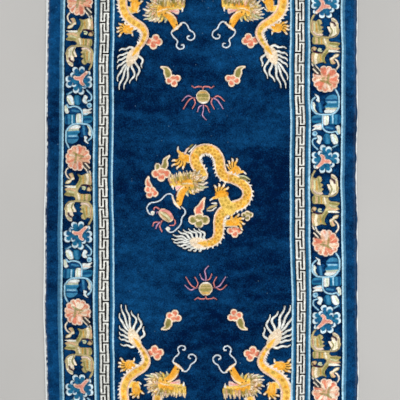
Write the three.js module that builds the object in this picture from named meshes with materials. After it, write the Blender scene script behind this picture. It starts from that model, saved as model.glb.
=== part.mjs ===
// Hand-knotted wool rug lying flat on the floor: a navy field with dragons inside key-fret and
// flower borders. The rug is woven in one piece, wool pile on a cotton foundation, and its two
// long edges are overcast with ivory cotton into round side cords. The ends are plain hems.
// Millimetres, +Z up, +Y along the length. The origin is on the floor, under the rug's middle.
import * as THREE from "three";

// Driving dimensions
const RUG_WIDTH = 915;
const RUG_LENGTH = 1755;
const FOUNDATION_HEIGHT = 3;
const PILE_HEIGHT = 9;
const SIDE_CORD_WIDTH = 6;
const SIDE_CORD_MIDDLE_HEIGHT = 2.6;
const SEAM_GAP = 0.3;
const LENGTH_STEPS = 60;
const CORD_CORNERS = 10;

const HALF_WIDTH = RUG_WIDTH / 2;
const HALF_LENGTH = RUG_LENGTH / 2;
const RUG_HEIGHT = FOUNDATION_HEIGHT + PILE_HEIGHT;

// Hand weaving draws the long edges in unevenly. Each row gives, at a place along the length,
// how far the left and the right edge lie inside the rug's widest line.
const EDGE_ROWS = [
  { along: 878, left: 5.0, right: 4.0 },
  { along: 700, left: 8.0, right: 3.2 },
  { along: 545, left: 9.2, right: 2.6 },
  { along: 400, left: 7.2, right: 4.5 },
  { along: 255, left: 5.2, right: 2.2 },
  { along: 140, left: 6.0, right: 4.7 },
  { along: 50, left: 4.6, right: 5.7 },
  { along: -60, left: 1.5, right: 3.2 },
  { along: -180, left: 1.6, right: 2.4 },
  { along: -325, left: 0.0, right: 2.0 },
  { along: -440, left: 3.6, right: 1.8 },
  { along: -500, left: 5.5, right: 0.0 },
  { along: -600, left: 7.4, right: 1.6 },
  { along: -740, left: 6.0, right: 3.0 },
  { along: -878, left: 5.0, right: 4.0 },
];

// The pile leans out a little at every edge, so its rim is a rounded shoulder. Each row gives how
// far in from the rim the pile has reached which height.
const SHOULDER_ROWS = [
  { inset: 0, height: 7 },
  { inset: 1.2, height: 9.8 },
  { inset: 3.2, height: 11.5 },
  { inset: 6.0, height: RUG_HEIGHT },
];

// How far the edge on one side is drawn in, eased from row to row so that it never overshoots.
function drawnIn(along, side) {
  for (let i = 1; i < EDGE_ROWS.length; i++) {
    const above = EDGE_ROWS[i - 1];
    const below = EDGE_ROWS[i];
    if (along < below.along && i < EDGE_ROWS.length - 1) continue;
    const share = THREE.MathUtils.smoothstep(along, below.along, above.along);
    return THREE.MathUtils.lerp(below[side], above[side], share);
  }
}

// A closed solid through convex sections that stand across the length. Every section is a list of
// Vector3 with the same number of corners, turning anticlockwise as seen from its +Y side.
function loft(sections) {
  const corners = sections[0].length;
  const last = (sections.length - 1) * corners;
  const faces = [];
  for (let i = 2; i < corners; i++) {
    faces.push(0, i, i - 1);
    faces.push(last, last + i - 1, last + i);
  }
  for (let s = 0; s < sections.length - 1; s++) {
    for (let i = 0; i < corners; i++) {
      const here = s * corners + i;
      const next = s * corners + ((i + 1) % corners);
      faces.push(here, next, next + corners);
      faces.push(here, next + corners, here + corners);
    }
  }
  const geometry = new THREE.BufferGeometry().setFromPoints(sections.flat());
  geometry.setIndex(faces);
  geometry.computeVertexNormals();
  return geometry;
}

// Places along the length, with the rows of the end shoulders added at both ends.
function placesAlong() {
  const places = [];
  for (const row of SHOULDER_ROWS) places.push(-HALF_LENGTH + row.inset);
  const straight = RUG_LENGTH - 2 * SHOULDER_ROWS.at(-1).inset;
  for (let i = 1; i < LENGTH_STEPS; i++) {
    places.push(places[SHOULDER_ROWS.length - 1] + (straight * i) / LENGTH_STEPS);
  }
  for (const row of SHOULDER_ROWS.toReversed()) places.push(HALF_LENGTH - row.inset);
  return places;
}

// Pile height at a place along the length, lower on the shoulders of the two ends.
function pileTop(along) {
  const inset = HALF_LENGTH - Math.abs(along);
  const row = SHOULDER_ROWS.find((r) => inset < r.inset + SEAM_GAP);
  return row ? row.height : RUG_HEIGHT;
}

// The knotted body: a flat slab with rounded pile shoulders, between the two side cords.
function rugBody() {
  const sections = placesAlong().map((along) => {
    const rise = pileTop(along) / RUG_HEIGHT;
    const rim = HALF_WIDTH - SIDE_CORD_WIDTH - SEAM_GAP;
    const left = -rim + drawnIn(along, "left");
    const right = rim - drawnIn(along, "right");
    const corner = (x, z) => new THREE.Vector3(x, along, z);
    const leftShoulder = SHOULDER_ROWS.map((r) => corner(left + r.inset, r.height * rise));
    const rightShoulder = SHOULDER_ROWS.map((r) => corner(right - r.inset, r.height * rise));
    return [
      corner(right, 0),
      corner(left, 0),
      ...leftShoulder,
      ...rightShoulder.toReversed(),
    ];
  });
  return loft(sections);
}

// A side cord: round above, flat where it lies on the floor, along one drawn-in edge.
function sideCord(side) {
  const outward = side === "left" ? -1 : 1;
  const radius = SIDE_CORD_WIDTH / 2;
  const chordAngle = Math.asin(SIDE_CORD_MIDDLE_HEIGHT / radius);
  const sweep = Math.PI + 2 * chordAngle;
  const sections = [];
  for (let i = 0; i <= LENGTH_STEPS; i++) {
    const along = THREE.MathUtils.lerp(-HALF_LENGTH, HALF_LENGTH, i / LENGTH_STEPS);
    const middle = outward * (HALF_WIDTH - radius - drawnIn(along, side));
    const section = [];
    for (let c = 0; c < CORD_CORNERS; c++) {
      const angle = Math.PI + chordAngle - (sweep * c) / (CORD_CORNERS - 1);
      const height = SIDE_CORD_MIDDLE_HEIGHT + radius * Math.sin(angle);
      const x = middle + radius * Math.cos(angle);
      section.push(new THREE.Vector3(x, along, Math.max(0, height)));
    }
    sections.push(section);
  }
  return loft(sections);
}

const navyWool = new THREE.MeshStandardMaterial({ color: "#0b3266", roughness: 0.95, metalness: 0 });
const ivoryCotton = new THREE.MeshStandardMaterial({ color: "#d8d4c8", roughness: 0.9, metalness: 0 });

function piece(name, geometry, material) {
  const mesh = new THREE.Mesh(geometry, material);
  mesh.name = name;
  return mesh;
}

const rug = new THREE.Group();
rug.add(piece("rug_body", rugBody(), navyWool));
rug.add(piece("side_cord_left", sideCord("left"), ivoryCotton));
rug.add(piece("side_cord_right", sideCord("right"), ivoryCotton));

export default rug;
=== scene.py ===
import math

import bmesh
import bpy
import numpy as np
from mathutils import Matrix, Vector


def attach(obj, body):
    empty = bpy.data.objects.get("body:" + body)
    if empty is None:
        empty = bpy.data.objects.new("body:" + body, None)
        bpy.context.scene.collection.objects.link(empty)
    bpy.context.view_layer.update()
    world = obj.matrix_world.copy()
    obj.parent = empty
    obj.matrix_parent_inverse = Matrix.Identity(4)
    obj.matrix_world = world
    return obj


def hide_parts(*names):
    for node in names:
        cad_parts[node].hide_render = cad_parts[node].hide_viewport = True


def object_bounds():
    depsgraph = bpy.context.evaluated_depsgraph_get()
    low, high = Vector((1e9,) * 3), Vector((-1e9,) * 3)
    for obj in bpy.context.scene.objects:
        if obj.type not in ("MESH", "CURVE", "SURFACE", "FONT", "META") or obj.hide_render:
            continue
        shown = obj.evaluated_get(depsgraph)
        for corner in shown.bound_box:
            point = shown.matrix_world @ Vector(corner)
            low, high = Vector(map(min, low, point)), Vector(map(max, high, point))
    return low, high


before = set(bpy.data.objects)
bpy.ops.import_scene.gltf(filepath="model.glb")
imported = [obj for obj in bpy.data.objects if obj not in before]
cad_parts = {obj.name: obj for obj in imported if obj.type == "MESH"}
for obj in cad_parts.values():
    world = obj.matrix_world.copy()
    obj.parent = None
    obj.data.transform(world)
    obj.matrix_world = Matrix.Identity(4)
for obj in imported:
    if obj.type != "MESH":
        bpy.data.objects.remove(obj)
cad_low, cad_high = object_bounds()

# Camera and studio. The rug lies on a pale floor and is seen from straight above: the picture takes in its
# whole width and about two thirds of its length. The light is soft, a little stronger from one side.
MM = 0.001
PICTURE_WIDTH = 1.156
PICTURE_MIDDLE = (-0.0029, -0.0058)
LENS_LENGTH = 85.0
SENSOR_WIDTH = 36.0
FLOOR_SIZE = 6.0
FLOOR_TONES = ((0.48, 0.475, 0.465, 1.0), (0.54, 0.535, 0.525, 1.0))
FLOOR_ROUGHNESS = 0.8
FLOOR_GRAIN = 3.0
SKY_COLOUR = (1.0, 0.99, 0.97, 1.0)
SKY_STRENGTH = 0.74
PANEL_SIZE = 1.6

camera_lens = bpy.data.cameras.new("camera")
camera_lens.lens = LENS_LENGTH
camera_lens.sensor_width = SENSOR_WIDTH
camera = bpy.data.objects.new("camera", camera_lens)
camera.location = (*PICTURE_MIDDLE, cad_high.z + PICTURE_WIDTH * LENS_LENGTH / SENSOR_WIDTH)
bpy.context.scene.collection.objects.link(camera)
bpy.context.scene.camera = camera
bpy.context.scene.view_settings.view_transform = "Standard"

studio = bpy.data.worlds.new("studio")
studio.use_nodes = True
studio.node_tree.nodes["Background"].inputs["Color"].default_value = SKY_COLOUR
studio.node_tree.nodes["Background"].inputs["Strength"].default_value = SKY_STRENGTH
bpy.context.scene.world = studio


def soft_panel(name, x, y, height, power):
    """A large square lamp that faces the middle of the rug."""
    lamp = bpy.data.lights.new(name, "AREA")
    lamp.size = PANEL_SIZE
    lamp.energy = power
    panel = bpy.data.objects.new(name, lamp)
    panel.location = (x, y, height)
    panel.rotation_euler = panel.location.to_track_quat("Z", "Y").to_euler()
    bpy.context.scene.collection.objects.link(panel)


soft_panel("panel_left", x=-1.9, y=1.1, height=2.2, power=18.0)
soft_panel("panel_right", x=1.9, y=-0.7, height=2.0, power=24.0)


def plain_material(name):
    """A new material, with its Principled BSDF and its node tree."""
    material = bpy.data.materials.new(name)
    material.use_nodes = True
    return material, material.node_tree.nodes["Principled BSDF"], material.node_tree


def node(tree, kind, **values):
    """A new shader node with these values, each named as its socket is, with _ for a space."""
    made = tree.nodes.new(kind)
    for socket, value in values.items():
        made.inputs[socket.replace("_", " ")].default_value = value
    return made


def wire(tree, source, out, target, socket):
    """Joins an output of one shader node to an input of another."""
    tree.links.new(source.outputs[out], target.inputs[socket])


def add_piece(name, bm, material):
    """Makes an object of a finished mesh, smooth shaded, at the origin."""
    mesh = bpy.data.meshes.new(name)
    bm.to_mesh(mesh)
    bm.free()
    mesh.materials.append(material)
    mesh.shade_smooth()
    piece = bpy.data.objects.new(name, mesh)
    bpy.context.scene.collection.objects.link(piece)
    return piece


floor_paint, floor_shader, floor_tree = plain_material("pale_floor")
floor_shader.inputs["Roughness"].default_value = FLOOR_ROUGHNESS
floor_place = node(floor_tree, "ShaderNodeTexCoord")
floor_grain = node(floor_tree, "ShaderNodeTexNoise", Scale=FLOOR_GRAIN)
floor_tone = node(floor_tree, "ShaderNodeValToRGB")
for stop, tone in zip(floor_tone.color_ramp.elements, FLOOR_TONES):
    stop.color = tone
wire(floor_tree, floor_place, "Object", floor_grain, "Vector")
wire(floor_tree, floor_grain, "Fac", floor_tone, "Fac")
wire(floor_tree, floor_tone, "Color", floor_shader, "Base Color")
bm = bmesh.new()
bmesh.ops.create_grid(bm, x_segments=1, y_segments=1, size=FLOOR_SIZE / 2)
add_piece("floor", bm, floor_paint)

# Field of the pile. Wool knots are tied on the warps row by row from a squared chart and cut level: a navy
# ground, uneven where one dye lot ends and the next begins, with a dragon in the middle, one in each corner,
# and pearls and clouds between. The pile is clipped away a little round each figure, and painted shade, dark
# knots round the figure, stands for the shadow in that groove.
RUG_WIDTH = round((cad_high.x - cad_low.x) / MM)
RUG_LENGTH = round((cad_high.y - cad_low.y) / MM)
RUG_HEIGHT = round((cad_high.z - cad_low.z) / MM)
FOUNDATION_HEIGHT = 3.0
SIDE_CORD_WIDTH = 6.0
SEAM_GAP = 0.3
SQUARE = 2.89
COLUMNS, ROWS = 400, 780
HALF_LENGTH = RUG_LENGTH / 2
HALF_PILE = RUG_WIDTH / 2 - SIDE_CORD_WIDTH - SEAM_GAP
KNOT = RUG_LENGTH / ROWS
LONGER = (RUG_LENGTH - RUG_WIDTH) / 2

gap_x = np.linspace(-HALF_PILE, HALF_PILE, COLUMNS + 1)
gap_y = np.linspace(-HALF_LENGTH, HALF_LENGTH, ROWS + 1)
knot_x = (gap_x[1:] + gap_x[:-1]) / 2
knot_y = (gap_y[1:] + gap_y[:-1]) / 2
across, along = np.meshgrid(knot_x, knot_y)
frame_line = np.maximum(np.abs(across), np.abs(along) - LONGER)
draw = np.random.default_rng(seed=7)


def dyed(red, green, blue):
    """A yarn's colour, from the red, green and blue of a screen to linear light."""
    c = np.array((red, green, blue)) / 255
    return np.where(c <= 0.04045, c / 12.92, ((c + 0.055) / 1.055) ** 2.4)


YARN = {
    "night": dyed(0, 14, 36),
    "indigo": dyed(16, 66, 112),
    "azure": dyed(30, 92, 134),
    "teal": dyed(34, 108, 144),
    "lake": dyed(62, 130, 168),
    "sky": dyed(168, 211, 231),
    "frost": dyed(222, 238, 244),
    "ivory": dyed(248, 244, 234),
    "cream": dyed(254, 234, 208),
    "celadon": dyed(212, 214, 172),
    "gold": dyed(246, 206, 104),
    "honey": dyed(245, 185, 84),
    "amber": dyed(247, 165, 38),
    "brass": dyed(206, 148, 54),
    "tan": dyed(194, 173, 121),
    "olive": dyed(138, 131, 68),
    "coral": dyed(224, 120, 94),
    "peach": dyed(233, 178, 144),
    "blush": dyed(243, 211, 195),
    "rose": dyed(240, 150, 146),
    "lilac": dyed(214, 166, 204),
    "bark": dyed(34, 30, 30),
    "maroon": dyed(66, 18, 36),
    "khaki": dyed(186, 154, 62),
    "steel": dyed(66, 118, 152),
    "ice": dyed(232, 244, 254),
    "bone": dyed(238, 240, 234),
}
PALER = {"coral": "peach", "olive": "tan"}
DEEP_NAVY = dyed(0, 22, 58)
FADED_NAVY = dyed(15, 78, 130)


def uneven(grain_across, grain_along):
    """Chance variation over the knots with that grain, in mm, of mean 0 and spread 1."""
    waves = np.fft.rfft2(draw.standard_normal(across.shape))
    up = np.fft.fftfreq(across.shape[0], KNOT)[:, None] * grain_along
    over = np.fft.rfftfreq(across.shape[1], KNOT)[None, :] * grain_across
    noise = np.fft.irfft2(waves * np.exp(-5 * (up**2 + over**2)), across.shape)
    return (noise - noise.mean()) / noise.std()


GROUND_TONE = 0.30
LOT_SPREAD, STREAK_SPREAD, MOTTLE_SPREAD, KNOT_SPREAD = 0.06, 0.08, 0.085, 0.15
dye_lots = GROUND_TONE + LOT_SPREAD * uneven(120, 40) + STREAK_SPREAD * uneven(50, 16)
mottle = uneven(14, 9)
dye_lots += MOTTLE_SPREAD * mottle + KNOT_SPREAD * uneven(0, 0)

# Each paler or deeper lot of yarn has its middle, its reach across and along, all in mm, and its tone.
LOTS = ((0, 540, 500, 110, 0.12), (-180, 270, 110, 70, -0.18), (-120, 315, 60, 50, -0.20),
        (-100, 175, 110, 35, 0.20), (170, 165, 120, 35, 0.14), (190, 30, 130, 110, -0.18),
        (215, -50, 60, 60, -0.16), (-215, 95, 60, 60, -0.24), (-140, -180, 120, 130, 0.22),
        (150, -220, 150, 90, -0.14), (-220, -350, 70, 80, 0.24), (215, -180, 60, 90, -0.16),
        (-200, -50, 60, 60, -0.16), (-200, -300, 60, 40, 0.14), (430, 480, 40, 190, 0.30),
        (-430, 480, 40, 130, 0.38), (-430, -400, 40, 180, 0.32), (430, -400, 40, 160, 0.20))
for x, y, reach_x, reach_y, tone in LOTS:
    dye_lots += tone * np.exp(-((across - x) / reach_x) ** 2 - ((along - y) / reach_y) ** 2)
OUTER_GROUND, OUTER_RISE, OUTER_PALENESS = 405, 10, 0.06
BORDER_MIDDLE, BORDER_HALF = 357.7, 44
BORDER_MOTTLE, BORDER_SHADE = 0.10, 0.06
PALEST_GROUND = 1.4
outer_ground = np.clip((frame_line - OUTER_GROUND) / OUTER_RISE, 0, 1)
border_ground = np.clip(1 - np.abs(frame_line - BORDER_MIDDLE) / BORDER_HALF, 0, 1) ** 0.2
border_tone = BORDER_MOTTLE * mottle - BORDER_SHADE
navy_share = dye_lots + OUTER_PALENESS * outer_ground + border_tone * border_ground
navy_share = np.clip(navy_share, 0, PALEST_GROUND)[..., None]
dye = DEEP_NAVY + (FADED_NAVY - DEEP_NAVY) * navy_share
clipped = np.zeros(across.shape)


def smooth(points, closed=False, steps=6):
    """A smooth line through the points."""
    p = np.array(points, float)
    before, after = (p[-1:], p[:2]) if closed else (2 * p[:1] - p[1:2], 2 * p[-1:] - p[-2:-1])
    p = np.vstack((before, p, after))
    t = (np.arange(steps) / steps)[:, None]
    runs = []
    for a, b, c, d in zip(p, p[1:], p[2:], p[3:]):
        runs.append(b + 0.5 * t * (c - a + t * (2 * a - 5 * b + 4 * c - d + t * (3 * b - a - 3 * c + d))))
    return np.vstack((*runs, p[-2:-1]))


class Spot:
    """Where a motif is knotted: its middle in chart squares, its turn in degrees, its mirroring and its
    size. A spot within another one moves, turns and mirrors with it."""

    def __init__(self, x, y, turn=0.0, mirror=(1, 1), size=1.0, stretch=1.0, within=None):
        c, s = math.cos(math.radians(turn)), math.sin(math.radians(turn))
        self.form = np.diag((mirror[0] * size, mirror[1] * size * stretch)) @ np.array(((c, s), (-s, c)))
        self.middle = np.array((x, y), float)
        self.size = size
        if within:
            self.middle = self.middle @ within.form + within.middle
            self.form = self.form @ within.form
            self.size *= within.size

    def on_rug(self, points):
        """Points of the motif, in squares, as places on the rug in mm."""
        return (np.array(points, float).reshape(-1, 2) @ self.form + self.middle) * SQUARE


# Room round a figure for its painted shade and its clipped groove, in mm.
PAINTED_SHADE_ROOM = 12.0
EDGE_SOFTNESS = 0.8 * KNOT
FAR = 1e6


def window(line, reach):
    """The rows and columns of knots that a line reaches, with room for the painted shade round it."""
    low = line.min(0) - reach - PAINTED_SHADE_ROOM
    high = line.max(0) + reach + PAINTED_SHADE_ROOM
    columns = np.searchsorted(knot_x, (low[0], high[0]))
    rows = np.searchsorted(knot_y, (low[1], high[1]))
    return slice(*rows), slice(*columns)


def gap_to(line, half, where):
    """How far each knot lies outside a line of changing half width, in mm."""
    x, y = across[where], along[where]
    gap = np.full(x.shape, FAR)
    for a, b, half_a, half_b in zip(line, line[1:], half, half[1:]):
        run = b - a
        t = np.clip(((x - a[0]) * run[0] + (y - a[1]) * run[1]) / max(run @ run, 1e-9), 0, 1)
        off = np.hypot(x - a[0] - t * run[0], y - a[1] - t * run[1])
        np.minimum(gap, off - half_a - (half_b - half_a) * t, out=gap)
    return gap


def stroke(spot, points, half_widths):
    """A smooth line through the points, in mm, with its half widths, given in squares, spread along it."""
    line = smooth(spot.on_rug(points))
    half = np.interp(np.linspace(0, 1, len(line)), np.linspace(0, 1, len(half_widths)), half_widths)
    return line, half * SQUARE * spot.size


def band(spot, points, *half_widths):
    """The shape of a stroke through the points."""
    line, half = stroke(spot, points, half_widths)
    where = window(line, half.max())
    return where, gap_to(line, half, where)


def lens(spot, points, half_width):
    """The shape of a line through the points that is widest in its middle."""
    return band(spot, points, 0.7 * half_width, half_width, 0.7 * half_width)


def patch(spot, points):
    """A closed shape with a smooth edge through the points."""
    line = smooth(spot.on_rug(points), closed=True)
    where = window(line, 0)
    x, y = across[where], along[where]
    inside = np.zeros(x.shape, bool)
    for a, b in zip(line, line[1:]):
        if a[1] != b[1]:
            crossing = a[0] + (b[0] - a[0]) * (y - a[1]) / (b[1] - a[1])
            inside ^= ((a[1] > y) != (b[1] > y)) & (x < crossing)
    gap = gap_to(line, np.zeros(len(line)), where)
    return where, np.where(inside, -gap, gap)


def discs(spot, middles, radius):
    """Round shapes of one radius, in squares."""
    places = spot.on_rug(middles)
    where = window(places, radius * SQUARE * spot.size)
    gaps = [np.hypot(across[where] - x, along[where] - y) for x, y in places]
    return where, np.minimum.reduce(gaps) - radius * SQUARE * spot.size


def union(*shapes):
    """Several shapes as one."""
    rows = slice(min(w[0].start for w, _ in shapes), max(w[0].stop for w, _ in shapes))
    columns = slice(min(w[1].start for w, _ in shapes), max(w[1].stop for w, _ in shapes))
    gap = np.full(across[rows, columns].shape, FAR)
    for (r, c), own_gap in shapes:
        own = gap[r.start - rows.start:r.stop - rows.start, c.start - columns.start:c.stop - columns.start]
        np.minimum(own, own_gap, out=own)
    return (rows, columns), gap


def knot(shape, yarn, grow=0.0, share=1.0):
    """Knots a shape in one yarn. Grow widens it by squares, and a share under 1 mixes it with the yarn
    that is there."""
    where, gap = shape
    cover = np.clip(0.5 - (gap - grow * SQUARE) / EDGE_SOFTNESS, 0, 1)[..., None] * share
    dye[where] += (YARN[yarn] - dye[where]) * cover


def clip_with_painted_shade(shape, width=1.6):
    """Painted shade round a figure: dark knots, soft on their outside, stand for the shadow where the pile
    is clipped lower round it. The clipping itself is real.
    """
    # Painted shade: rings of night knots, darker towards the figure's edge.
    for grow, share in ((width + 1.0, 0.25), (width, 0.4), (0.5 * width, 0.7)):
        knot(shape, "night", grow, share)
    where, gap = shape
    groove = np.clip(1 - np.abs(gap - 0.5 * width * SQUARE) / (0.8 * width * SQUARE), 0, 1)
    clipped[where] = np.where(gap < 0, 0, np.maximum(clipped[where], groove))


def gap_over(shape, where):
    """How far the knots of another window lie outside a shape."""
    (rows, columns), gap = shape
    whole = np.full(across.shape, FAR)
    whole[rows, columns] = gap
    return whole[where]


def polar(reach, turn):
    """The point at that distance and in that direction, in degrees."""
    return np.array((reach * math.cos(math.radians(turn)), reach * math.sin(math.radians(turn))))


def aside(run):
    """A run turned a quarter to the left."""
    return np.array((-run[1], run[0]))


def pick(*yarns):
    """One of the yarns, by chance."""
    return yarns[draw.integers(len(yarns))]


def edged(shape, yarn):
    """Knots a shape with a cream rim, a paler line inside it and its own yarn in the middle."""
    knot(shape, "cream", 0.6)
    knot(shape, PALER[yarn], -0.4)
    knot(shape, yarn, -1.0, 0.8)
    knot(shape, yarn, -1.9, 0.6)


CLOUD_LOBES = (-170, -90, -10)


def trefoil(spot, lobes=CLOUD_LOBES):
    """The outline of a cloud with round lobes in these directions."""
    return union(discs(spot, [polar(3.9, turn) for turn in lobes], 2.4), discs(spot, [(0, 0.4)], 2.9))


def cloud(spot, yarn, lobes=CLOUD_LOBES):
    """A cloud of round lobes: a cream rim, paler yarn inside it and its own yarn in each lobe."""
    shape = trefoil(spot, lobes)
    knot(shape, "cream", 0.6)
    knot(shape, PALER[yarn], -0.4)
    for turn in lobes:
        bow = [polar(2.6, turn + 22), polar(4.0, turn + 12), polar(4.1, turn - 16)]
        knot(band(spot, bow, 0.8, 1.25, 0.9), yarn, 0, 0.9)
    knot(band(spot, [(-1.2, 1.4), (1.2, 0.6)], 0.8, 1.0), yarn, 0, 0.7)
    knot(band(spot, [(-1.6, -0.6), (0, -1.4), (1.6, -0.6)], 0.45), "cream", 0, 0.6)


def stations(spine, spacing):
    """Points at even distances along a spine, each with its heading and its share of the length."""
    line = smooth(spine)
    run = np.concatenate(([0], np.cumsum(np.hypot(*np.diff(line, axis=0).T))))
    for distance in np.arange(spacing, run[-1], spacing):
        i = np.searchsorted(run, distance)
        heading = line[i] - line[i - 1]
        yield line[i], heading / np.hypot(*heading), distance / run[-1]


WAVE_REACH = 0.75
CREST_SPACING, SCALE_SPACING = 3.3, 3.0


def wavy(points):
    """A smooth line through the points with one and a half slight waves in it."""
    line = smooth(points, steps=5)
    heading = np.gradient(line, axis=0)
    side = np.stack((-heading[:, 1], heading[:, 0]), 1) / np.hypot(*heading.T)[:, None]
    return line + side * WAVE_REACH * np.sin(np.linspace(0, 3 * math.pi, len(line)))[:, None]


def dragon(spot, spine, half_widths, crest_side, crest_turns_at, quill, locks, feet, hem, scale_rows,
           scale_half):
    """A dragon but for its head: a scaled body with a pink belly and a crest of small spines, a pale tail
    tuft of waving locks that are parted by dark lines, and feet on bent arms that come out from under the
    body. The crest changes sides at a share of the length, and hem is the width of the pale edge."""
    hide = band(spot, spine, *half_widths)
    fan = band(spot, quill, 2.4, 4.6, 5.6, 4.6, 2.0)
    strands = [band(spot, wavy(lock), 1.1, 0.95, 0.8, 0.35) for lock in locks]
    clip_with_painted_shade(union(hide, fan, *strands), 1.6)
    knot(union(*strands), "night", 0.9)
    for strand in strands:
        knot(strand, "night", 0.6, 0.9)
        knot(strand, "bone")
    knot(fan, "cream")
    knot(fan, "tan", 0, 0.2)
    for point, heading, share in stations(quill, 1.4):
        off = aside(heading) * draw.uniform(-3.8, 3.8)
        knot(discs(spot, [point + off], 0.8), pick("peach", "tan", "ivory"), 0, 0.45)
    for girth, arm, toes, hook in feet:
        foot(spot, girth, arm, toes, hook)

    shares = np.linspace(0, 1, len(half_widths))

    def sideways(heading, share):
        """The direction of the crest and the body's half width at a share of its length."""
        side = crest_side if share < crest_turns_at else -crest_side
        return aside(heading) * side, np.interp(share, shares, half_widths)

    belly = []
    for point, heading, share in stations(spine, CREST_SPACING):
        out, half = sideways(heading, share)
        root = point + out * half
        knot(band(spot, [root, root + out * 1.9 + heading * 0.8], 1.0, 0.35), "ivory")
        belly.append(point - out * half * 0.8)
    for yarn, grow in (("cream", 0.4), ("blush", -0.4), ("gold", -hem)):
        knot(hide, yarn, grow)
    knot(hide, "honey", -hem - 0.3, 0.4)
    knot(band(spot, belly, 0.7), "peach", 0, 0.7)
    for row, (point, heading, share) in enumerate(stations(spine, SCALE_SPACING)):
        out, half = sideways(heading, share)
        for place in scale_rows[row % 2]:
            scale = discs(spot, [point + out * half * place], scale_half)
            knot(scale, pick("brass", "amber", "khaki", "brass", "brass"), 0, draw.uniform(0.7, 1.0))

    knot(band(spot, quill[:2], 3.0, 2.6, 1.0), "peach", 0, 0.5)
    knot(band(spot, quill[:2], 2.2, 1.7, 0.6), "gold")
    knot(band(spot, quill[:2], 1.3, 0.9, 0.4), "amber", 0, 0.6)


def foot(spot, girth, arm, toes, hook):
    """A broad foot at the end of a bent arm: toes parted by dark lines, pale claws and a hooked thumb."""
    palm = np.array(arm[-1], float)
    limb = band(spot, arm, girth, girth, 4.4)
    thumb = band(spot, hook, 1.5, 1.0, 0.5)
    fingers = []
    for tip in np.array(toes, float):
        run = tip - palm
        bend = aside(run) * 0.12
        nail = palm + run * 0.8
        fingers.append((band(spot, [palm, palm + run * 0.5 + bend, nail], 1.5, 1.15, 0.9),
                        band(spot, [nail, palm + run * 0.92 - bend * 0.3, tip], 0.85, 0.75, 0.4)))
    clip_with_painted_shade(union(limb, thumb, *(shape for finger in fingers for shape in finger)), 1.0)
    knot(limb, "cream", 0.4, 0.8)
    knot(thumb, "bark", 0.4, 0.7)
    knot(thumb, "ivory")
    for toe, claw in fingers:
        knot(union(toe, claw), "bark", 0.9)
        knot(toe, "honey")
        knot(claw, "cream")
    knot(limb, "gold", -0.3)
    knot(band(spot, arm[1:], 2.4, 4.0), "amber", 0, 0.85)
    knot(band(spot, [palm, *hook[:2]], 1.8, 1.4, 1.0), "honey")


MANE = (((-9, -10.5), "gold", "olive"), ((-14, -10.5), "tan", "olive"), ((-18, -8), "cream", "olive"),
        ((-18.5, -3.5), "peach", "bark"), ((-21.5, -1), "cream", "olive"), ((-19, 3), "gold", "olive"),
        ((-21.5, 5.5), "cream", "bark"), ((-20.5, 9.5), "celadon", "olive"), ((-15.5, 11), "cream", "khaki"),
        ((-10.5, 12), "tan", "olive"), ((-6, 12.5), "gold", "bark"), ((0.5, 12.5), "celadon", "olive"))
SHAG = ("cream", "tan", "cream", "gold", "olive", "khaki", "peach", "celadon", "gold", "cream")


def tufted(spot, root, tip, yarn, shadow, half_width):
    """One lock of hair with a dark line round it, a shaded lower side and a pale end."""
    root, tip = np.array(root, float), np.array(tip, float)
    run = tip - root
    over = aside(run) * 0.1
    bend = root + run * 0.55 - over
    lock = band(spot, [root, bend, tip], half_width, half_width, 0.35)
    knot(lock, "bark", 0.4, 0.7)
    knot(lock, yarn)
    knot(band(spot, [root + over, bend + over, bend + (tip - bend) * 0.6], 0.4 * half_width), shadow, 0, 0.8)
    knot(band(spot, [bend + (tip - bend) * 0.5, tip], 0.6, 0.4), "ivory", 0, 0.6)


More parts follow.
